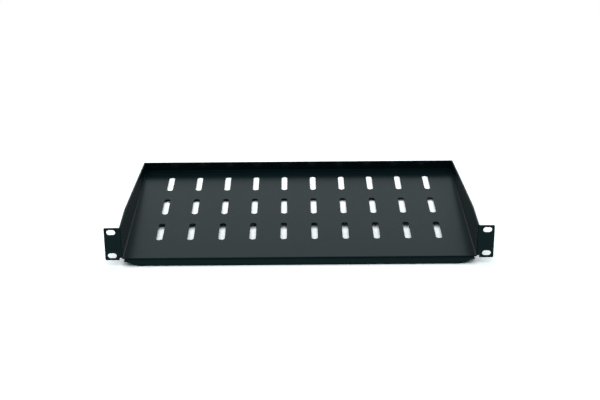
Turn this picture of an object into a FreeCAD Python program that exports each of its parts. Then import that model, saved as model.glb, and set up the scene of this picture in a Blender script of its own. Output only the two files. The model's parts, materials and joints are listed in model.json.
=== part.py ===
import FreeCAD, Part
import os

# Cantilever rack shelf, one unit high, for a 19 inch rack: a single steel sheet, cut and folded.
# Millimetres. +X is to the right as seen from the front, +Y runs into the rack and +Z is up.
# The origin is the middle of the four screw slots, on the rear face of the ears,
# which is the face that the rack rails touch.

# Rack standard
RACK_UNIT_HEIGHT = 44.45      # height of one rack unit
PANEL_PLAY = 0.79             # what a panel is lower than its unit
BODY_WIDTH = 444.5            # outside the side walls, to pass between the rails
EAR_WIDTH = 19.05             # how far each ear stands out from its side wall
SCREW_SIDE_MARGIN = 8.74      # from an ear's outer edge to the middle of its screw slots
SCREW_UNIT_MARGIN = 6.35      # from the edges of the rack unit to the middle of the screw slots
SCREW_SLOT_LENGTH = 11.0
SCREW_SLOT_WIDTH = 7.0

# Sheet
SHEET = 1.5                   # thickness
BEND_RADIUS = 1.5             # inside radius of every fold, and every fold is square
RELIEF_WIDTH = 1.0            # width of the round ended cuts that keep one bend out of another
EAR_CORNER_RADIUS = 1.5

# Tray
DEPTH = 285.0                 # from the rails to the rear face
WALL_LEVEL_RUN = 55.0         # how far the wall tops stay level behind the rails
REAR_LIP_HEIGHT = 15.0        # from the underside of the floor
REAR_SEAM = 0.4               # open seam between the rear lip and each side wall
FRONT_LIP_DROP = 10.0         # from the top of the floor down
LIP_TAPER_LENGTH = 18.0       # the front lip's ends taper over this length
LIP_END_FLAT = 0.5            # flat height that the taper leaves below the bend

# Vent slots in the floor, long side front to back
VENT_LENGTH = 50.0
VENT_WIDTH = 8.0
VENT_ROW_BRIDGE = 30.0        # floor left between the ends of two slots
VENT_COLUMN_BRIDGE = 32.0     # floor left between the sides of two slots
VENT_FRONT_MARGIN = 53.0      # from the rails to the front row
VENT_REAR_MARGIN = 10.0       # least flat floor behind the rear row
VENT_SIDE_MARGIN = 30.0       # least flat floor beside the outer columns

# Worked out from the sizes above
PANEL_HEIGHT = RACK_UNIT_HEIGHT - PANEL_PLAY
PANEL_WIDTH = BODY_WIDTH + 2 * EAR_WIDTH
TOP = PANEL_HEIGHT / 2
UNDERSIDE = -PANEL_HEIGHT / 2
FLOOR_TOP = UNDERSIDE + SHEET
FLOOR_MIDDLE = UNDERSIDE + SHEET / 2
FRONT = -SHEET                              # front face of the ears and of the front lip
FRONT_MIDDLE = -SHEET / 2
WALL_OUTSIDE = BODY_WIDTH / 2
WALL_INSIDE = WALL_OUTSIDE - SHEET
WALL_MIDDLE = WALL_OUTSIDE - SHEET / 2
MIDDLE_RADIUS = BEND_RADIUS + SHEET / 2     # of a bend, in the middle of the sheet
BEND_REACH = BEND_RADIUS + SHEET            # from the outside of a fold to the end of its bend
SIDE_BEND_START = WALL_OUTSIDE - BEND_REACH
SIDE_BEND_TOP = UNDERSIDE + BEND_REACH
FRONT_BEND_END = FRONT + BEND_REACH
REAR_BEND_START = DEPTH - BEND_REACH
EAR_BEND_END = WALL_OUTSIDE + BEND_RADIUS
EAR_EDGE = PANEL_WIDTH / 2
REAR_LIP_TOP = UNDERSIDE + REAR_LIP_HEIGHT
REAR_LIP_END = WALL_INSIDE - REAR_SEAM
FRONT_LIP_BOTTOM = FLOOR_TOP - FRONT_LIP_DROP
LIP_BEND_END = SIDE_BEND_START - RELIEF_WIDTH

X = FreeCAD.Vector(1, 0, 0)
Y = FreeCAD.Vector(0, 1, 0)
Z = FreeCAD.Vector(0, 0, 1)


def heading(start, end):
    """Unit vector from start towards end."""
    return (end - start).normalize()


def strip_side(corners, across, shift):
    """One side of a folded strip's section: its middle line moved by shift, with an arc at each fold."""
    edges = []
    start = corners[0] + across.cross(heading(corners[0], corners[1])) * shift
    for before, fold, after in zip(corners, corners[1:], corners[2:]):
        arriving = heading(before, fold)
        leaving = heading(fold, after)
        bend_start = fold - arriving * MIDDLE_RADIUS + across.cross(arriving) * shift
        bend_end = fold + leaving * MIDDLE_RADIUS + across.cross(leaving) * shift
        centre = fold + (leaving - arriving) * MIDDLE_RADIUS
        crown = centre + heading(leaving, arriving) * centre.distanceToPoint(bend_start)
        edges.append(Part.makeLine(start, bend_start))
        edges.append(Part.Arc(bend_start, crown, bend_end).toShape())
        start = bend_end
    end = corners[-1] + across.cross(heading(corners[-2], corners[-1])) * shift
    edges.append(Part.makeLine(start, end))
    return edges


def folded_strip(corners, run):
    """Strip of sheet whose middle line turns square at each inner corner, drawn out along run."""
    across = heading(FreeCAD.Vector(), run)
    upper = strip_side(corners, across, SHEET / 2)
    lower = strip_side(corners, across, -SHEET / 2)
    first_end = Part.makeLine(upper[0].Vertexes[0].Point, lower[0].Vertexes[0].Point)
    last_end = Part.makeLine(upper[-1].Vertexes[-1].Point, lower[-1].Vertexes[-1].Point)
    outline = Part.Wire(Part.__sortEdges__(upper + lower + [first_end, last_end]))
    return Part.Face(outline).extrude(run)


def obround(centre, along, across, length, width, depth):
    """Round ended bar about its centre: length along one way, width across it and depth the third way."""
    reach = along * (length - width) / 2
    side = across * width / 2
    tip = along * length / 2
    outline = Part.Wire([
        Part.makeLine(centre - reach - side, centre + reach - side),
        Part.Arc(centre + reach - side, centre + tip, centre + reach + side).toShape(),
        Part.makeLine(centre + reach + side, centre - reach + side),
        Part.Arc(centre - reach + side, centre - tip, centre - reach - side).toShape(),
    ])
    run = along.cross(across) * depth
    bar = Part.Face(outline).extrude(run)
    bar.translate(run * -0.5)
    return bar


def prism(points, run):
    """Straight sided solid: a closed outline drawn out along run."""
    return Part.Face(Part.makePolygon(points + points[:1])).extrude(run)


def block(low, high):
    """Box between two opposite corners."""
    size = FreeCAD.Vector(*high) - FreeCAD.Vector(*low)
    return Part.makeBox(size.x, size.y, size.z, FreeCAD.Vector(*low))


def both_sides(shape):
    """The shape and its mirror image across the middle of the shelf."""
    return [shape, shape.mirror(FreeCAD.Vector(), X)]


def channel():
    """Floor and both side walls, whose tops run level and then slope down to the rear lip."""
    corners = [
        FreeCAD.Vector(-WALL_MIDDLE, BEND_RADIUS, TOP),
        FreeCAD.Vector(-WALL_MIDDLE, BEND_RADIUS, FLOOR_MIDDLE),
        FreeCAD.Vector(WALL_MIDDLE, BEND_RADIUS, FLOOR_MIDDLE),
        FreeCAD.Vector(WALL_MIDDLE, BEND_RADIUS, TOP),
    ]
    above_slope = prism([
        FreeCAD.Vector(-WALL_OUTSIDE, WALL_LEVEL_RUN, TOP),
        FreeCAD.Vector(-WALL_OUTSIDE, DEPTH, REAR_LIP_TOP),
        FreeCAD.Vector(-WALL_OUTSIDE, DEPTH, TOP),
    ], X * BODY_WIDTH)
    behind_floor = block(
        (-SIDE_BEND_START, REAR_BEND_START, UNDERSIDE),
        (SIDE_BEND_START, DEPTH, FLOOR_TOP),
    )
    return folded_strip(corners, Y * (DEPTH - BEND_RADIUS)).cut([above_slope, behind_floor])


def front_lip():
    """Front of the floor, folded down, with tapered ends."""
    corners = [
        FreeCAD.Vector(-LIP_BEND_END, WALL_LEVEL_RUN, FLOOR_MIDDLE),
        FreeCAD.Vector(-LIP_BEND_END, FRONT_MIDDLE, FLOOR_MIDDLE),
        FreeCAD.Vector(-LIP_BEND_END, FRONT_MIDDLE, FRONT_LIP_BOTTOM),
    ]
    under_taper = prism([
        FreeCAD.Vector(LIP_BEND_END, FRONT, FLOOR_TOP - BEND_REACH - LIP_END_FLAT),
        FreeCAD.Vector(LIP_BEND_END, FRONT, FRONT_LIP_BOTTOM),
        FreeCAD.Vector(LIP_BEND_END - LIP_TAPER_LENGTH, FRONT, FRONT_LIP_BOTTOM),
    ], Y * SHEET)
    return folded_strip(corners, X * (2 * LIP_BEND_END)).cut(both_sides(under_taper))


def rear_lip():
    """Back of the floor, folded up between the side walls and wider above their bends."""
    corners = [
        FreeCAD.Vector(-REAR_LIP_END, WALL_LEVEL_RUN, FLOOR_MIDDLE),
        FreeCAD.Vector(-REAR_LIP_END, DEPTH - SHEET / 2, FLOOR_MIDDLE),
        FreeCAD.Vector(-REAR_LIP_END, DEPTH - SHEET / 2, REAR_LIP_TOP),
    ]
    beside_side_bend = block(
        (LIP_BEND_END, WALL_LEVEL_RUN, UNDERSIDE),
        (WALL_INSIDE, DEPTH, SIDE_BEND_TOP),
    )
    return folded_strip(corners, X * (2 * REAR_LIP_END)).cut(both_sides(beside_side_bend))


def right_ear():
    """Front of the right side wall, folded outwards, with rounded corners and two screw slots."""
    corners = [
        FreeCAD.Vector(WALL_MIDDLE, WALL_LEVEL_RUN, UNDERSIDE),
        FreeCAD.Vector(WALL_MIDDLE, FRONT_MIDDLE, UNDERSIDE),
        FreeCAD.Vector(EAR_EDGE, FRONT_MIDDLE, UNDERSIDE),
    ]
    ear = folded_strip(corners, Z * PANEL_HEIGHT)
    outer_corners = [
        edge for edge in ear.Edges
        if edge.BoundBox.XMin > EAR_BEND_END and edge.BoundBox.YLength > SHEET / 2
    ]
    side_bend = block((WALL_INSIDE, BEND_RADIUS, UNDERSIDE), (WALL_OUTSIDE, WALL_LEVEL_RUN, SIDE_BEND_TOP))
    screw_reach = RACK_UNIT_HEIGHT / 2 - SCREW_UNIT_MARGIN
    screw_slots = [
        obround(
            FreeCAD.Vector(EAR_EDGE - SCREW_SIDE_MARGIN, FRONT_MIDDLE, height),
            X, Z, SCREW_SLOT_LENGTH, SCREW_SLOT_WIDTH, 2 * SHEET,
        )
        for height in (-screw_reach, screw_reach)
    ]
    return ear.makeFillet(EAR_CORNER_RADIUS, outer_corners).cut([side_bend] + screw_slots)


def front_relief():
    """Cut that parts the bends of the front lip, the right side wall and the right ear."""
    hole_centre = FreeCAD.Vector(SIDE_BEND_START - RELIEF_WIDTH / 2, FRONT_BEND_END, UNDERSIDE)
    hole = Part.makeCylinder(RELIEF_WIDTH / 2, BEND_REACH, hole_centre)
    under_ear_bend = block(
        (SIDE_BEND_START, FRONT, UNDERSIDE),
        (EAR_BEND_END, FRONT_BEND_END, SIDE_BEND_TOP),
    )
    return hole.fuse(under_ear_bend)


def rear_relief():
    """Round end of the cut that parts the rear lip's bend from the right side wall's."""
    hole_centre = FreeCAD.Vector(SIDE_BEND_START - RELIEF_WIDTH / 2, REAR_BEND_START, UNDERSIDE)
    return Part.makeCylinder(RELIEF_WIDTH / 2, BEND_REACH, hole_centre)


def vent_slots():
    """The grid of slots in the floor: as many as fit, centred left to right."""
    row_pitch = VENT_LENGTH + VENT_ROW_BRIDGE
    column_pitch = VENT_WIDTH + VENT_COLUMN_BRIDGE
    room_back = REAR_BEND_START - VENT_REAR_MARGIN - VENT_FRONT_MARGIN
    room_across = 2 * (SIDE_BEND_START - VENT_SIDE_MARGIN)
    rows = int((room_back + VENT_ROW_BRIDGE) / row_pitch)
    columns = int((room_across + VENT_COLUMN_BRIDGE) / column_pitch)
    first_row = VENT_FRONT_MARGIN + VENT_LENGTH / 2
    first_column = -(columns - 1) * column_pitch / 2
    return [
        obround(
            FreeCAD.Vector(first_column + column * column_pitch, first_row + row * row_pitch, FLOOR_MIDDLE),
            Y, X, VENT_LENGTH, VENT_WIDTH, 2 * SHEET,
        )
        for row in range(rows)
        for column in range(columns)
    ]


def shelf():
    """The whole folded sheet."""
    blank = channel().fuse([front_lip(), rear_lip()] + both_sides(right_ear())).removeSplitter()
    cuts = both_sides(front_relief()) + both_sides(rear_relief()) + vent_slots()
    return blank.cut(cuts).removeSplitter().Solids[0]


os.makedirs("parts", exist_ok=True)
sheet = shelf()
sheet.exportStep("parts/shelf.step")
print("valid", sheet.isValid(), "volume cm3", round(sheet.Volume / 1000, 2), sheet.BoundBox)
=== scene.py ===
# %% [markdown]
# # A folded rack shelf
#
# The real object is one steel sheet, cut flat, folded on a press brake and powder coated black.
# This lesson makes it in the same order: load the frame, cut the flat blank, fold it, give it
# thickness and soft edges, coat it, then stand it on a white table under a soft studio sky.
# The frame holds the sizes that a rack asks for, so the lesson reads them from there.

# %% Load the frame
import json
import math

import bpy
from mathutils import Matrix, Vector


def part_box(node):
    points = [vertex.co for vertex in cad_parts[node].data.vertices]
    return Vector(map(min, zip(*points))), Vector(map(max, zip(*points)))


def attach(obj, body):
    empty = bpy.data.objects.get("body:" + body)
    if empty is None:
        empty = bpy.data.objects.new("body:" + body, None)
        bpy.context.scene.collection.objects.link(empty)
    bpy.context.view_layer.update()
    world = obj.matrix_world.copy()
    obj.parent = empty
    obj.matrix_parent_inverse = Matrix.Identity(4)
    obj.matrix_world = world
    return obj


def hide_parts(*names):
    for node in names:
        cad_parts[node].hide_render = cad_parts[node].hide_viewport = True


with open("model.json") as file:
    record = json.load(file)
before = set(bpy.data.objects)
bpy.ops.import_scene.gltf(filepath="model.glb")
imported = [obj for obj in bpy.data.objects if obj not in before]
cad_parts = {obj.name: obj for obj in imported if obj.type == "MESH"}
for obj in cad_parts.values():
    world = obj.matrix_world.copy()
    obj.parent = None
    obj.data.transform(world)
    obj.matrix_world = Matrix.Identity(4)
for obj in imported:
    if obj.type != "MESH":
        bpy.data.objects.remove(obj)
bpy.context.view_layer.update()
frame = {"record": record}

MM = 0.001

# %% [markdown]
# ## Sizes
#
# The sheet's outer sizes could be typed in again, but then a change to the frame would leave the
# looks behind. So all that the frame knows is read from it: the box gives the ears' edges, the
# sheet's thickness, the depth and the heights, and the mounts give the screw slots. Only the sizes
# that the frame doesn't state are named here. Blender works in metres, so MM turns a maker's
# millimetres into metres. The origin is midway up the ears, so the floor's underside lies as far
# below it as the wall's top lies above.

# %% Sizes that the frame gives
low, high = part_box("shelf")
mounts = {mount["name"]: mount for mount in frame["record"]["mounts"]}
screws = mounts["rack_screws"]["dims"]

SHEET = -low.y
EAR_EDGE = high.x
DEPTH = high.y
TOP = high.z
UNDERSIDE = -high.z
FRONT_LIP_BOTTOM = low.z
SCREW_SPAN = screws["spacing_x_mm"] * MM
SCREW_RISE = screws["spacing_y_mm"] * MM
SCREWS_PER_EAR = screws["count"] // 2
SCREW_SLOT_LENGTH = screws["slot_length_mm"] * MM
SCREW_SLOT_WIDTH = 2 * screws["hole_r_mm"] * MM
print("sheet", round(SHEET / MM, 2), "mm thick, depth", round(DEPTH / MM, 1), "mm")

# %% Sizes of the folds and cuts
BEND_RADIUS = 1.5 * MM
WALL_OUTSIDE = 222.25 * MM
WALL_LEVEL_RUN = 55 * MM
REAR_LIP_HEIGHT = 15 * MM
LIP_TAPER_LENGTH = 18 * MM
LIP_END_FLAT = 0.5 * MM
RELIEF_WIDTH = 1 * MM
EAR_CORNER_RADIUS = 1.5 * MM
VENT_LENGTH = 50 * MM
VENT_WIDTH = 8 * MM
VENT_COLUMNS = 10
VENT_ROWS = 3
VENT_COLUMN_PITCH = 40 * MM
VENT_ROW_PITCH = 80 * MM
VENT_MIDDLE_ROW = 158 * MM
vent_size = f"{VENT_LENGTH / MM:.0f} by {VENT_WIDTH / MM:.0f} mm"
print(VENT_COLUMNS * VENT_ROWS, "vents of", vent_size)

# %% [markdown]
# ## Where the folds lie
#
# A real blank is marked with its fold lines before it goes to the press brake. They could be typed
# in as numbers, but they follow from the sizes above. A sheet is easiest to fold as a surface
# halfway through its thickness, where a square fold takes a quarter circle of sheet, so the blank
# is that much longer than its straight parts together, for every fold. These few lines place each
# fold on that middle surface. On the blank, X runs out over a side wall and Y runs back over the
# rear lip, also past their folds.

# %% Fold lines on the flat blank
FOLD_RADIUS = BEND_RADIUS + SHEET / 2
FOLD_LENGTH = FOLD_RADIUS * math.pi / 2
FLOOR_MIDDLE = UNDERSIDE + SHEET / 2
BEND_REACH = BEND_RADIUS + SHEET
SIDE_LINE = WALL_OUTSIDE - BEND_REACH
FRONT_LINE = BEND_RADIUS
REAR_LINE = DEPTH - BEND_REACH
BEND_TOP = UNDERSIDE + BEND_REACH
WALL_FOOT = SIDE_LINE + FOLD_LENGTH
WALL_HEAD = WALL_FOOT + TOP - BEND_TOP
EAR_FOOT = WALL_FOOT - BEND_REACH
LIP_FOOT = FRONT_LINE - FOLD_LENGTH
EAR_END = LIP_FOOT - (EAR_EDGE - WALL_OUTSIDE - BEND_RADIUS)
LIP_BEND_END = SIDE_LINE - RELIEF_WIDTH
FRONT_LIP_EDGE = LIP_FOOT - (FLOOR_MIDDLE - FOLD_RADIUS - FRONT_LIP_BOTTOM)
REAR_LIP_FOOT = REAR_LINE + FOLD_LENGTH
REAR_LIP_EDGE = REAR_LIP_FOOT + REAR_LIP_HEIGHT - BEND_REACH
CORNER_REACH = SIDE_LINE + FOLD_RADIUS
CORNER_DEPTH = REAR_LINE + FOLD_RADIUS
SLOPE_END = WALL_FOOT + REAR_LIP_HEIGHT - BEND_REACH
print("blank", round(2 * WALL_HEAD / MM, 1), "by", round((REAR_LIP_EDGE - EAR_END) / MM, 1), "mm")

# %% [markdown]
# ## Short hand for node trees
#
# A rule such as a fold is a sum, but a node tree written call by call hides it. One small class
# wraps a socket, so that sums on sockets are written as sums, and each operator adds its Math node.
# The forms that start with r serve sums whose first term is a plain number, such as 1 - mask. One
# more class adds any other node: its settings are set first, because some of them decide which
# sockets it has.

# %% Sums on sockets
class Value:
    """A socket in a node tree that can stand in a sum."""

    def __init__(self, desk, socket):
        self.desk = desk
        self.socket = socket

    def __add__(self, other):
        return self.desk.math("ADD", self, other)

    def __radd__(self, other):
        return self.desk.math("ADD", other, self)

    def __sub__(self, other):
        return self.desk.math("SUBTRACT", self, other)

    def __rsub__(self, other):
        return self.desk.math("SUBTRACT", other, self)

    def __mul__(self, other):
        return self.desk.math("MULTIPLY", self, other)

    def __rmul__(self, other):
        return self.desk.math("MULTIPLY", other, self)

    def __truediv__(self, other):
        return self.desk.math("DIVIDE", self, other)

    def __rtruediv__(self, other):
        return self.desk.math("DIVIDE", other, self)

    def __neg__(self):
        return self.desk.math("MULTIPLY", self, -1.0)

    def __gt__(self, other):
        return self.desk.math("GREATER_THAN", self, other)

    def __lt__(self, other):
        return self.desk.math("LESS_THAN", self, other)


reflected = [name for name in vars(Value) if name.startswith("__r")]
print("sums on sockets, with", len(reflected), "reflected forms")

# %% Any other node
class Desk:
    """Adds nodes to one tree."""

    def __init__(self, tree):
        self.tree = tree

    def node(self, kind, settings=None, **sockets):
        """Add a node, set it up, then fill its input sockets.

        A socket goes by its name, with underscores for spaces. Where several share a name, in0,
        in1 and so on give its place.
        """
        new = self.tree.nodes.new(kind)
        for name, value in (settings or {}).items():
            setattr(new, name, value)
        for name, value in sockets.items():
            numbered = name.startswith("in") and name[2:].isdigit()
            place = int(name[2:]) if numbered else name.replace("_", " ")
            self.fill(new.inputs[place], value)
        return new

    def fill(self, place, value):
        """Link a socket, or set its own value."""
        if isinstance(value, Value):
            value = value.socket
        if isinstance(value, bpy.types.NodeSocket):
            self.tree.links.new(value, place)
        else:
            place.default_value = value

    def out(self, node, name=0):
        """One output of a node, ready for a sum."""
        return Value(self, node.outputs[name])

    def math(self, operation, *terms):
        """A Math node on one, two or three terms."""
        sockets = {f"in{place}": term for place, term in enumerate(terms)}
        return self.out(self.node("ShaderNodeMath", {"operation": operation}, **sockets))


print("short hand:", Value.__name__, "and", Desk.__name__)

# %% [markdown]
# ## The flat blank
#
# The real blank is one flat sheet with small round ended cuts, called reliefs, which part one fold
# from the next at the front corners. At the rear corners the folded lip and walls meet in a closed
# seam. The blank could be drawn as one outline, but a flat face can't bend. So it is drawn as
# panels that stay flat, each a closed outline, with a strip of narrow quads between two panels
# wherever a fold comes. Panels and strips share their corner points, so they weld into one skin.
# The right half is drawn and the left half is its mirror image. Each outline carries a number,
# and the slots that are punched through a panel carry the same number.

# %% Outlines of the panels
ARC_STEPS = 8
RELIEF_STEPS = 4


def arc(x, y, radius, start, end, steps=ARC_STEPS):
    """Points along an arc, its ends included. Angles are in degrees."""
    angles = [math.radians(start + (end - start) * step / steps) for step in range(steps + 1)]
    return [(x + radius * math.cos(angle), y + radius * math.sin(angle)) for angle in angles]


def mirrored(points):
    """The same points on the left, in the order that keeps the outline going round."""
    return [(-x, y) for x, y in reversed(points)]


relief = RELIEF_WIDTH / 2
floor_right = (
    arc(SIDE_LINE - relief, FRONT_LINE, relief, 180, 0, RELIEF_STEPS)
    + [(SIDE_LINE, REAR_LINE)]
)
floor_outline = floor_right + mirrored(floor_right)

# The vents are punched in tiles, one to a vent, so the floor is drawn with a window for them.
# Its outline has a point at every tile's corner, for the tiles to weld to.
tile_edge = VENT_COLUMNS * VENT_COLUMN_PITCH / 2
tile_front = VENT_MIDDLE_ROW - VENT_ROWS * VENT_ROW_PITCH / 2
tile_rear = VENT_MIDDLE_ROW + VENT_ROWS * VENT_ROW_PITCH / 2
window = (
    [(-tile_edge + column * VENT_COLUMN_PITCH, tile_front) for column in range(VENT_COLUMNS)]
    + [(tile_edge, tile_front + row * VENT_ROW_PITCH) for row in range(VENT_ROWS)]
    + [(tile_edge - column * VENT_COLUMN_PITCH, tile_rear) for column in range(VENT_COLUMNS)]
    + [(-tile_edge, tile_rear - row * VENT_ROW_PITCH) for row in range(VENT_ROWS)]
)
wall_outline = [
    (WALL_FOOT, FRONT_LINE),
    (WALL_FOOT, CORNER_DEPTH),
    (SLOPE_END, CORNER_DEPTH),
    (WALL_HEAD, WALL_LEVEL_RUN),
    (WALL_HEAD, FRONT_LINE),
]
ear_outline = (
    [(WALL_HEAD, LIP_FOOT)]
    + arc(WALL_HEAD - EAR_CORNER_RADIUS, EAR_END + EAR_CORNER_RADIUS, EAR_CORNER_RADIUS, 0, -90)
    + arc(EAR_FOOT + EAR_CORNER_RADIUS, EAR_END + EAR_CORNER_RADIUS, EAR_CORNER_RADIUS, -90, -180)
    + [(EAR_FOOT, LIP_FOOT), (WALL_FOOT, LIP_FOOT)]
)
front_lip_right = [
    (LIP_BEND_END, LIP_FOOT),
    (LIP_BEND_END, LIP_FOOT - LIP_END_FLAT),
    (LIP_BEND_END - LIP_TAPER_LENGTH, FRONT_LIP_EDGE),
]
rear_lip_right = [
    (CORNER_REACH, REAR_LIP_EDGE),
    (CORNER_REACH, REAR_LIP_FOOT),
]
panels = {
    "floor": floor_outline,
    "right ear": ear_outline,
    "left ear": mirrored(ear_outline),
    "right wall": wall_outline,
    "left wall": mirrored(wall_outline),
    "front lip": front_lip_right + mirrored(front_lip_right),
    "rear lip": rear_lip_right + mirrored(rear_lip_right),
}
panel_number = {name: number for number, name in enumerate(panels)}
print(len(panels), "panels:", ", ".join(panels))

# %% Strips where the folds come
FOLD_STEPS = 10
fold_steps = [step / FOLD_STEPS for step in range(FOLD_STEPS + 1)]


def mitre(share):
    """How far a strip runs on past the rear corner, at a share of its fold.

    The strips of the wall and of the rear lip are cut alike, so once both are folded their ends
    lie in one upright plane across the corner and meet point for point.
    """
    return FOLD_RADIUS * math.sin(share * math.pi / 2)


side_strip = [
    [(SIDE_LINE + FOLD_LENGTH * share, y) for y in (FRONT_LINE, REAR_LINE + mitre(share))]
    for share in fold_steps
]
ear_strip = [
    [(x, FRONT_LINE - FOLD_LENGTH * share) for x in (WALL_FOOT, WALL_HEAD)] for share in fold_steps
]
front_strip = [
    [(x, FRONT_LINE - FOLD_LENGTH * share) for x in (-LIP_BEND_END, LIP_BEND_END)]
    for share in fold_steps
]
rear_strip = [
    [(turn * (SIDE_LINE + mitre(share)), REAR_LINE + FOLD_LENGTH * share) for turn in (1, -1)]
    for share in fold_steps
]
strips = [
    side_strip,
    [mirrored(rung) for rung in side_strip],
    ear_strip,
    [mirrored(rung) for rung in ear_strip],
    front_strip,
    rear_strip,
]
print(len(strips), "fold strips of", FOLD_STEPS, "quads")

# %% The blank as a mesh
STRIP_NUMBER = -1  # below every panel's number: it marks the points of a strip
points = []
edges = []
faces = []
numbers = []
for name, outline in [*panels.items(), ("floor", window)]:
    first = len(points)
    points += outline
    numbers += [panel_number[name]] * len(outline)
    edges += [(first + here, first + (here + 1) % len(outline)) for here in range(len(outline))]
for strip in strips:
    first = len(points)
    points += [corner for rung in strip for corner in rung]
    width = len(strip[0])
    numbers += [STRIP_NUMBER] * (width * len(strip))
    faces += [
        (corner, corner + width, corner + width + 1, corner + 1)
        for step in range(FOLD_STEPS)
        for corner in range(first + step * width, first + (step + 1) * width - 1)
    ]

blank = bpy.data.meshes.new("flat_blank")
blank.from_pydata([(x, y, 0) for x, y in points], edges, faces)
blank.attributes.new("panel", "INT", "POINT").data.foreach_set("value", numbers)
shelf = bpy.data.objects.new("folded_sheet", blank)
bpy.context.scene.collection.objects.link(shelf)
print("blank:", len(points), "points,", len(edges), "outline edges,", len(faces), "strip quads")

# %% [markdown]
# ## Punch and fold with Geometry Nodes
#
# The slots repeat on a grid and the folds follow one rule, which is what Geometry Nodes are for.
# A punch is a rectangle whose corners are filleted until its ends are round. A Fill Curve node
# fills an outline and leaves what lies inside it open, so a tile with one vent is filled once and
# copied over the floor's window. All 30 vents could be holes in one big face, but a face with so
# many holes is hard to bevel. Then every point is moved once by the fold rule. The tree's inputs
# have names, so the sizes can be changed in the modifier too.

# %% The tree and its named inputs
tree = bpy.data.node_groups.new("punch and fold", "GeometryNodeTree")
tree.is_modifier = True
controls = {}


def control(name, kind, value):
    """A named input of the tree, with the value that the modifier gets."""
    socket = tree.interface.new_socket(name=name, in_out="INPUT", socket_type=kind)
    controls[socket.identifier] = value


tree.interface.new_socket(name="Blank", in_out="INPUT", socket_type="NodeSocketGeometry")
tree.interface.new_socket(name="Sheet", in_out="OUTPUT", socket_type="NodeSocketGeometry")
control("Vent Columns", "NodeSocketInt", VENT_COLUMNS)
control("Vent Rows", "NodeSocketInt", VENT_ROWS)
control("Vent Column Pitch", "NodeSocketFloat", VENT_COLUMN_PITCH)
control("Vent Row Pitch", "NodeSocketFloat", VENT_ROW_PITCH)
control("Vent Width", "NodeSocketFloat", VENT_WIDTH)
control("Vent Length", "NodeSocketFloat", VENT_LENGTH)
control("Screw Slot Length", "NodeSocketFloat", SCREW_SLOT_LENGTH)
control("Screw Slot Width", "NodeSocketFloat", SCREW_SLOT_WIDTH)
control("Screw Rise", "NodeSocketFloat", SCREW_RISE)
control("Screws Per Ear", "NodeSocketInt", SCREWS_PER_EAR)
control("Fold Radius", "NodeSocketFloat", FOLD_RADIUS)
control("Finish", "NodeSocketMaterial", None)
fold_desk = Desk(tree)
asked = fold_desk.node("NodeGroupInput")


def asks(name):
    """One of the tree's named inputs, ready for a sum."""
    return fold_desk.out(asked, name)


print("inputs:", len(controls))

# %% A punch, and a grid of copies
ROUND_STEPS = 14


def punch(desk, width, length):
    """The outline of a round ended slot, width along X and length along Y."""
    corners = desk.node("GeometryNodeCurvePrimitiveQuadrilateral", Width=width, Height=length)
    return desk.node(
        "GeometryNodeFilletCurve", {"mode": "POLY"},
        Curve=corners.outputs[0], Count=ROUND_STEPS, Limit_Radius=True,
        Radius=desk.math("MINIMUM", width, length) / 2,
    )


def spread(desk, thing, columns, rows, column_pitch, row_pitch, middle):
    """Copies of a thing on a grid about its middle."""
    place = desk.out(desk.node("GeometryNodeInputIndex"))
    column = desk.math("MODULO", place, columns)
    row = desk.math("FLOOR", place / columns)
    spot = desk.node(
        "ShaderNodeCombineXYZ",
        X=(column - (columns - 1) / 2) * column_pitch + middle[0],
        Y=(row - (rows - 1) / 2) * row_pitch + middle[1],
    )
    grid = desk.node("GeometryNodePoints", Count=columns * rows, Position=spot.outputs[0])
    copies = desk.node(
        "GeometryNodeInstanceOnPoints", Points=grid.outputs[0], Instance=thing.outputs[0],
    )
    return desk.node("GeometryNodeRealizeInstances", Geometry=copies.outputs[0])


print("a punch has", ROUND_STEPS, "steps to a rounded corner")

# %% The vents and the screw slots
tile_outline = fold_desk.node(
    "GeometryNodeCurvePrimitiveQuadrilateral",
    Width=asks("Vent Column Pitch"), Height=asks("Vent Row Pitch"),
)
vent = punch(fold_desk, asks("Vent Width"), asks("Vent Length"))
tile_drawing = fold_desk.node("GeometryNodeJoinGeometry")
tree.links.new(tile_outline.outputs[0], tile_drawing.inputs[0])
tree.links.new(vent.outputs[0], tile_drawing.inputs[0])
tile = fold_desk.node("GeometryNodeFillCurve", {"mode": "NGONS"}, Curve=tile_drawing.outputs[0])
tiles = spread(
    fold_desk, tile, asks("Vent Columns"), asks("Vent Rows"),
    asks("Vent Column Pitch"), asks("Vent Row Pitch"), (0, VENT_MIDDLE_ROW),
)

screw_slot = punch(fold_desk, asks("Screw Slot Width"), asks("Screw Slot Length"))
screw_middle = LIP_FOOT - (SCREW_SPAN / 2 - WALL_OUTSIDE - BEND_RADIUS)
screw_height = WALL_FOOT - BEND_TOP
screw_slots = []
for side, panel in ((1, "right ear"), (-1, "left ear")):
    pair = spread(
        fold_desk, screw_slot, asks("Screws Per Ear"), 1,
        asks("Screw Rise"), 0, (side * screw_height, screw_middle),
    )
    screw_slots.append(fold_desk.node(
        "GeometryNodeStoreNamedAttribute", {"data_type": "INT", "domain": "POINT"},
        Geometry=pair.outputs[0], Name="panel", Value=panel_number[panel],
    ))
print("one tile for", VENT_COLUMNS * VENT_ROWS, "vents, one punch for each ear's screw slots")

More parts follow.
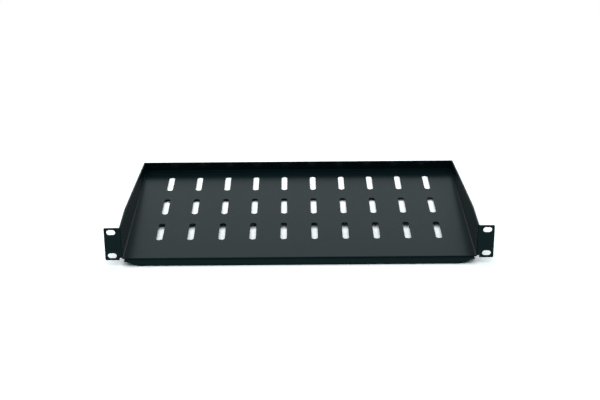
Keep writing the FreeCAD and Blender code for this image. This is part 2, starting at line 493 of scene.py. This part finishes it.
# %% Fill the panels and weld the strips to them
WELD = 0.01 * MM
mark = fold_desk.node("GeometryNodeInputNamedAttribute", {"data_type": "INT"}, Name="panel")
is_strip = fold_desk.out(mark) < 0
parted = fold_desk.node(
    "GeometryNodeSeparateGeometry", {"domain": "POINT"},
    Geometry=asked.outputs["Blank"], Selection=is_strip,
)
outlines = fold_desk.node("GeometryNodeMeshToCurve", Mesh=parted.outputs["Inverted"])
drawing = fold_desk.node("GeometryNodeJoinGeometry")
for curves in [outlines] + screw_slots:
    tree.links.new(curves.outputs[0], drawing.inputs[0])
filled = fold_desk.node(
    "GeometryNodeFillCurve", {"mode": "NGONS"}, Curve=drawing.outputs[0], Group_ID=mark.outputs[0],
)
skin = fold_desk.node("GeometryNodeJoinGeometry")
tree.links.new(filled.outputs[0], skin.inputs[0])
tree.links.new(parted.outputs["Selection"], skin.inputs[0])
tree.links.new(tiles.outputs[0], skin.inputs[0])
welded = fold_desk.node("GeometryNodeMergeByDistance", Geometry=skin.outputs[0], Distance=WELD)
print("panels filled, and welded within", round(WELD / MM, 3), "mm")

# %% [markdown]
# ## The fold rule
#
# Take a fold line and a point some way past it. The first quarter circle's length of sheet lies
# on the bend, and what is left runs straight on, square to where it started. A point before the
# line has nothing to bend and stays where it is, so one formula serves the whole sheet. An
# armature or a Simple Deform modifier could bend it too, one fold at a time, each with its own
# limits and groups of points to set up. The rule needs none. The front is folded first, then the
# rear lip, then the sides. The ears are folded down by then, so the rule also carries a point's
# height, and it keeps them stiff while their wall comes up. After the last fold the strips touch
# at the rear corners, and a second weld closes the seam.

# %% One fold
def fold(desk, along, up, line, radius, turn, chosen=1.0, stiff=None):
    """New distance and height of a point, when what lies past a line is folded up or down.

    Turn is 1 for up and -1 for down. Chosen is 1 where the point takes part in the fold, and
    stiff is 1 where its whole panel swings round with no bend of its own.
    """
    length = radius * (math.pi / 2)
    past = along - line
    bent = desk.math("MINIMUM", desk.math("MAXIMUM", past, 0.0), length) * chosen
    if stiff is not None:
        bent = bent + (length - bent) * stiff
    straight = past - bent
    angle = bent / radius
    arm = radius - up * turn
    sine = desk.math("SINE", angle)
    cosine = desk.math("COSINE", angle)
    return line + arm * sine + straight * cosine, (radius - arm * cosine + straight * sine) * turn


print("one rule folds all panels")

# %% Fold the sheet
position = fold_desk.node("GeometryNodeInputPosition")
where = fold_desk.node("ShaderNodeSeparateXYZ", Vector=position.outputs[0])
across, back, flat = (fold_desk.out(where, axis) for axis in "XYZ")
out = fold_desk.math("ABSOLUTE", across)
side = fold_desk.math("SIGN", across)
radius = asks("Fold Radius")
on_rear_lip = (back - REAR_LINE) > (out - SIDE_LINE)
on_ear = (back < FRONT_LINE - WELD) * (out > LIP_BEND_END + WELD)

forward, height = fold(fold_desk, -back, flat, -FRONT_LINE, radius, -1.0)
depth, height = fold(fold_desk, -forward, height, REAR_LINE, radius, 1.0, chosen=on_rear_lip)
reach, height = fold(
    fold_desk, out, height, SIDE_LINE, radius, 1.0, chosen=1 - on_rear_lip, stiff=on_ear,
)
folded_place = fold_desk.node(
    "ShaderNodeCombineXYZ", X=reach * side, Y=depth, Z=height + FLOOR_MIDDLE,
)
folded = fold_desk.node(
    "GeometryNodeSetPosition", Geometry=welded.outputs[0], Position=folded_place.outputs[0],
)
closed = fold_desk.node("GeometryNodeMergeByDistance", Geometry=folded.outputs[0], Distance=WELD)
smooth = fold_desk.node("GeometryNodeSetShadeSmooth", Geometry=closed.outputs[0])
real = fold_desk.node("GeometryNodeRealizeInstances", Geometry=smooth.outputs[0])
coated = fold_desk.node(
    "GeometryNodeSetMaterial", Geometry=real.outputs[0], Material=asked.outputs["Finish"],
)
leaving = fold_desk.node("NodeGroupOutput")
tree.links.new(coated.outputs[0], leaving.inputs[0])
print("fold tree has", len(tree.nodes), "nodes")

# %% [markdown]
# ## The finish
#
# Black powder coat is a plastic skin baked on to the steel. It is nearly black, a little blue
# green, with a satin gloss: at a low angle it mirrors what stands behind it, softly. Powder melts
# into a faint orange peel, and fine grains show on top of that. An image of such a coat would show
# its joins and wait for a UV map, so the coat is built from noise in object space: wide clouds
# vary colour and gloss a little, and the peel and the grains raise a shallow bump.

# %% Powder coat
PEEL_SIZE = 1.6 * MM
GRAIN_SIZE = 0.28 * MM
CLOUD_SIZE = 70 * MM
COAT_DARK = (0.0018, 0.0058, 0.0072, 1.0)
COAT_LIGHT = (0.0034, 0.0096, 0.0116, 1.0)
CLOUD_SHARE = 0.6
GRAIN_SHARE = 0.4
ROUGH_LEAST = 0.22
ROUGH_SPREAD = 0.07
GLOSS_LEVEL = 0.1
GLOSS_TINT = (0.55, 1.0, 1.0, 1.0)
GRAIN_RISE = 0.35
BUMP_DEPTH = 0.02 * MM
BUMP_STRENGTH = 0.12


def powder_coat():
    """Black satin powder coat."""
    material = bpy.data.materials.new("black_powder_coat")
    material.use_nodes = True
    material.node_tree.nodes.clear()
    desk = Desk(material.node_tree)
    place = desk.node("ShaderNodeTexCoord").outputs["Object"]

    def noise(size, detail):
        """Soft noise whose patches are about one size across, with some finer layers on top."""
        pattern = desk.node("ShaderNodeTexNoise", Vector=place, Scale=1 / size, Detail=detail)
        return desk.out(pattern, "Fac")

    clouds = noise(CLOUD_SIZE, detail=3.0)
    peel = noise(PEEL_SIZE, detail=2.0)
    grain = noise(GRAIN_SIZE, detail=1.0)
    colour = desk.node(
        "ShaderNodeMix", {"data_type": "RGBA"},
        in0=clouds * CLOUD_SHARE + grain * GRAIN_SHARE, in6=COAT_DARK, in7=COAT_LIGHT,
    )
    bump = desk.node(
        "ShaderNodeBump",
        Height=peel + grain * GRAIN_RISE, Strength=BUMP_STRENGTH, Distance=BUMP_DEPTH,
    )
    coat = desk.node(
        "ShaderNodeBsdfPrincipled",
        Base_Color=colour.outputs[2],
        Roughness=clouds * ROUGH_SPREAD + ROUGH_LEAST,
        Specular_IOR_Level=GLOSS_LEVEL,
        Specular_Tint=GLOSS_TINT,
        Normal=bump.outputs[0],
    )
    output = desk.node("ShaderNodeOutputMaterial")
    material.node_tree.links.new(coat.outputs[0], output.inputs[0])
    return material


finish = powder_coat()
print("finish:", finish.name)

# %% [markdown]
# ## Fold it, and give it thickness and soft edges
#
# So far the tree is only a plan. A modifier runs it on the blank and gives a folded skin with no
# thickness. The real sheet is equally thick everywhere, also round its folds, so a Solidify
# modifier grows the skin by half a sheet to each side. Extruding it by hand would thin the bends.
# A cut edge that is coated is never quite sharp: it catches a thin line of light. A narrow bevel
# makes that line, and Weighted Normal keeps the large faces evenly shaded beside it. At the end
# the modifiers are swapped for the mesh that they make, which then stands in for the frame's shelf.

# %% Run the fold tree on the blank
modifier = shelf.modifiers.new("punch and fold", "NODES")
modifier.node_group = tree
for identifier, value in controls.items():
    if value is not None:
        modifier[identifier] = value
finish_socket = next(item for item in tree.interface.items_tree if item.name == "Finish")
modifier[finish_socket.identifier] = finish
print("the modifier runs", tree.name)

# %% Thickness and soft edges
COAT_EDGE = 0.12 * MM
EDGE_SEGMENTS = 3
CUT_EDGE_ANGLE = math.radians(40)  # a cut edge turns more than this, a step of a fold less

thicken = shelf.modifiers.new("sheet", "SOLIDIFY")
thicken.thickness = SHEET
thicken.offset = 0
thicken.use_even_offset = True
soften = shelf.modifiers.new("soft edges", "BEVEL")
soften.width = COAT_EDGE
soften.segments = EDGE_SEGMENTS
soften.limit_method = "ANGLE"
soften.angle_limit = CUT_EDGE_ANGLE
soften.use_clamp_overlap = False
shelf.modifiers.new("level shading", "WEIGHTED_NORMAL")
print("modifiers:", ", ".join(step.name for step in shelf.modifiers))


# %% Swap the modifiers for their mesh
def baked(thing):
    """Swap an object's modifiers for the mesh that they make."""
    view = bpy.context.evaluated_depsgraph_get()
    mesh = bpy.data.meshes.new_from_object(thing.evaluated_get(view), depsgraph=view)
    mesh.name = thing.name
    thing.modifiers.clear()
    thing.data = mesh
    while mesh.materials[0] is None:  # an empty slot can come before the coat's own
        mesh.materials.pop(index=0)
    return mesh


made = baked(shelf)
made.calc_loop_triangles()
print("sheet:", len(made.vertices), "points,", len(made.loop_triangles), "triangles")

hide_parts("shelf")
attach(shelf, "root")

# %% [markdown]
# ## The table
#
# Off its rack the shelf stands on the front lip and on the back of its floor, so it leans back a
# little. The frame may not move, so the table is tilted under it instead. The table is matt white.
# More lamps would make it look whiter, but they would grey the black coat too. So the camera and
# reflections see a brighter white than the one that lights the shelf, and far off, where no shadow
# falls, they see plain white.

# %% The table
TABLE_HALF = 4.0
REST_RISE = UNDERSIDE - FRONT_LIP_BOTTOM
table_lean = math.atan2(REST_RISE, REAR_LINE)
TABLE_GAP = 0.05 * MM
TABLE_WHITE = (0.8, 0.8, 0.8, 1.0)
TABLE_WHITE_SEEN = (1.42, 1.42, 1.42, 1.0)
WHITE = (1.0, 1.0, 1.0, 1.0)
PLAIN_WHITE_START = 0.7
PLAIN_WHITE_END = 1.3


def seen_directly(desk):
    """One where the camera, a mirror or a clear surface looks, and nought for all other light."""
    path = desk.node("ShaderNodeLightPath")
    seen = desk.out(path, "Is Camera Ray") + desk.out(path, "Is Glossy Ray")
    return desk.math("MINIMUM", seen + desk.out(path, "Is Transmission Ray"), 1.0)


def white_table():
    """A matt white top, whiter to the camera than to the shelf, and plain white far off."""
    material = bpy.data.materials.new("white_table")
    material.use_nodes = True
    material.node_tree.nodes.clear()
    desk = Desk(material.node_tree)
    plain = desk.node("ShaderNodeBsdfDiffuse", Color=TABLE_WHITE)
    bright = desk.node("ShaderNodeBsdfDiffuse", Color=TABLE_WHITE_SEEN)
    seen = seen_directly(desk)
    near = desk.node("ShaderNodeMixShader", in0=seen, in1=plain.outputs[0], in2=bright.outputs[0])
    place = desk.node("ShaderNodeTexCoord").outputs["Object"]
    away = desk.out(desk.node("ShaderNodeVectorMath", {"operation": "LENGTH"}, in0=place), "Value")
    far_off = desk.node(
        "ShaderNodeMapRange", {"interpolation_type": "SMOOTHSTEP"},
        Value=away, From_Min=PLAIN_WHITE_START, From_Max=PLAIN_WHITE_END,
    )
    white = desk.node("ShaderNodeEmission", Color=WHITE, Strength=1.0)
    whole = desk.node(
        "ShaderNodeMixShader",
        in0=desk.out(far_off) * seen, in1=near.outputs[0], in2=white.outputs[0],
    )
    output = desk.node("ShaderNodeOutputMaterial")
    material.node_tree.links.new(whole.outputs[0], output.inputs[0])
    return material


corners = [(x * TABLE_HALF, y * TABLE_HALF) for x, y in ((-1, -1), (1, -1), (1, 1), (-1, 1))]
rise = math.tan(table_lean)
table_points = [(x, y, FRONT_LIP_BOTTOM - TABLE_GAP + y * rise) for x, y in corners]
table_mesh = bpy.data.meshes.new("table")
table_mesh.from_pydata(table_points, [], [(0, 1, 2, 3)])
table_mesh.materials.append(white_table())
table = bpy.data.objects.new("table", table_mesh)
bpy.context.scene.collection.objects.link(table)
print("table leans", round(math.degrees(table_lean), 2), "degrees")

# %% [markdown]
# ## The sky and the lamp
#
# A black coat shows little but what it mirrors, so the sky matters more than the lamp. A studio
# would hang a wide soft light overhead and stand white walls round the table. Many lamps could
# copy that, but each adds noise to the render, and one sky with two faces is simpler. What the
# coat mirrors is bright near the horizon and dim overhead, so the floor, seen at a low angle,
# turns a soft grey while faces seen head on stay dark. All other light comes from a soft dome
# overhead, so shade gathers under the sheet. The camera sees plain white. One long, weak softbox
# above and behind adds a soft sheen.

# %% The sky
MIRRORED_HORIZON = 1.0
MIRRORED_TOP = 0.12
MIRRORED_FADE = (0.55, 0.80)
DOME_LOW = 0.12
DOME_HIGH = 1.35
DOME_FADE = (0.50, 0.75)
COOL_WHITE = (0.92, 1.0, 1.02, 1.0)

world = bpy.data.worlds.new("studio")
world.use_nodes = True
world.node_tree.nodes.clear()
sky_desk = Desk(world.node_tree)
path = sky_desk.node("ShaderNodeLightPath")
outwards = sky_desk.node("ShaderNodeTexCoord").outputs["Generated"]
direction = sky_desk.node("ShaderNodeSeparateXYZ", Vector=outwards)


def brightness(heights, low_level, high_level):
    """A sky that fades from one level to another between two heights, 0 level and 1 overhead."""
    return sky_desk.out(sky_desk.node(
        "ShaderNodeMapRange", {"interpolation_type": "SMOOTHSTEP"},
        Value=direction.outputs["Z"], From_Min=heights[0], From_Max=heights[1],
        To_Min=low_level, To_Max=high_level,
    ))


mirrored_sky = brightness(MIRRORED_FADE, MIRRORED_HORIZON, MIRRORED_TOP)
dome = brightness(DOME_FADE, DOME_LOW, DOME_HIGH)
glossy = sky_desk.out(path, "Is Glossy Ray")
studio_sky = glossy * mirrored_sky + (1 - glossy) * dome
plain_view = sky_desk.math(
    "MAXIMUM", sky_desk.out(path, "Is Camera Ray"), sky_desk.out(path, "Is Transmission Ray"),
)
level = plain_view + (1 - plain_view) * studio_sky
tint = sky_desk.node(
    "ShaderNodeMix", {"data_type": "RGBA"}, in0=plain_view, in6=COOL_WHITE, in7=WHITE,
)
sky = sky_desk.node("ShaderNodeBackground", Color=tint.outputs[2], Strength=level)
sky_out = sky_desk.node("ShaderNodeOutputWorld")
world.node_tree.links.new(sky.outputs[0], sky_out.inputs[0])
bpy.context.scene.world = world
print("sky: mirrored", MIRRORED_HORIZON, "to", MIRRORED_TOP, "and dome", DOME_LOW, "to", DOME_HIGH)

# %% The softbox
SOFTBOX_POWER = 3.0
SOFTBOX_WIDTH = 1.4
SOFTBOX_DEPTH = 0.3
SOFTBOX_PLACE = (-0.25, 0.65, 1.1)


def softbox(name, power, width, depth, place):
    """A flat lamp, wide from left to right, that looks at the middle of the shelf."""
    data = bpy.data.lights.new(name, "AREA")
    data.shape = "RECTANGLE"
    data.size = width
    data.size_y = depth
    data.energy = power
    box = bpy.data.objects.new(name, data)
    box.location = place
    aim = Vector((place[0], DEPTH / 2, 0)) - box.location
    box.rotation_euler = aim.to_track_quat("-Z", "Y").to_euler()
    bpy.context.scene.collection.objects.link(box)
    print(name, power, "W at", place)


softbox("strip softbox", SOFTBOX_POWER, SOFTBOX_WIDTH, SOFTBOX_DEPTH, SOFTBOX_PLACE)

# %% [markdown]
# ## The camera
#
# A long lens from a step or two away draws a wide, low thing with little stretch at its ends,
# and a view from a little above shows the floor, its vents and both ears at once. A wide lens
# close by would show the same parts, but swell what is near and shrink what is far.

# %% Place the camera
CAMERA_LENS = 77.91
CAMERA_PLACE = (-0.0028, -1.4524, 0.6946)
CAMERA_TURN = (66.312, 0.357, -0.313)

camera_data = bpy.data.cameras.new("camera")
camera_data.lens = CAMERA_LENS
camera = bpy.data.objects.new("camera", camera_data)
camera.location = CAMERA_PLACE
camera.rotation_euler = [math.radians(angle) for angle in CAMERA_TURN]
bpy.context.scene.collection.objects.link(camera)
bpy.context.scene.camera = camera
bpy.context.scene.view_settings.view_transform = "Standard"
print("camera", [round(v, 3) for v in camera.location])

# %% [markdown]
# ## The box to fill
#
# The looks have to fill the same box as the frame, or the shelf wouldn't fit the rack that it is
# drawn for.
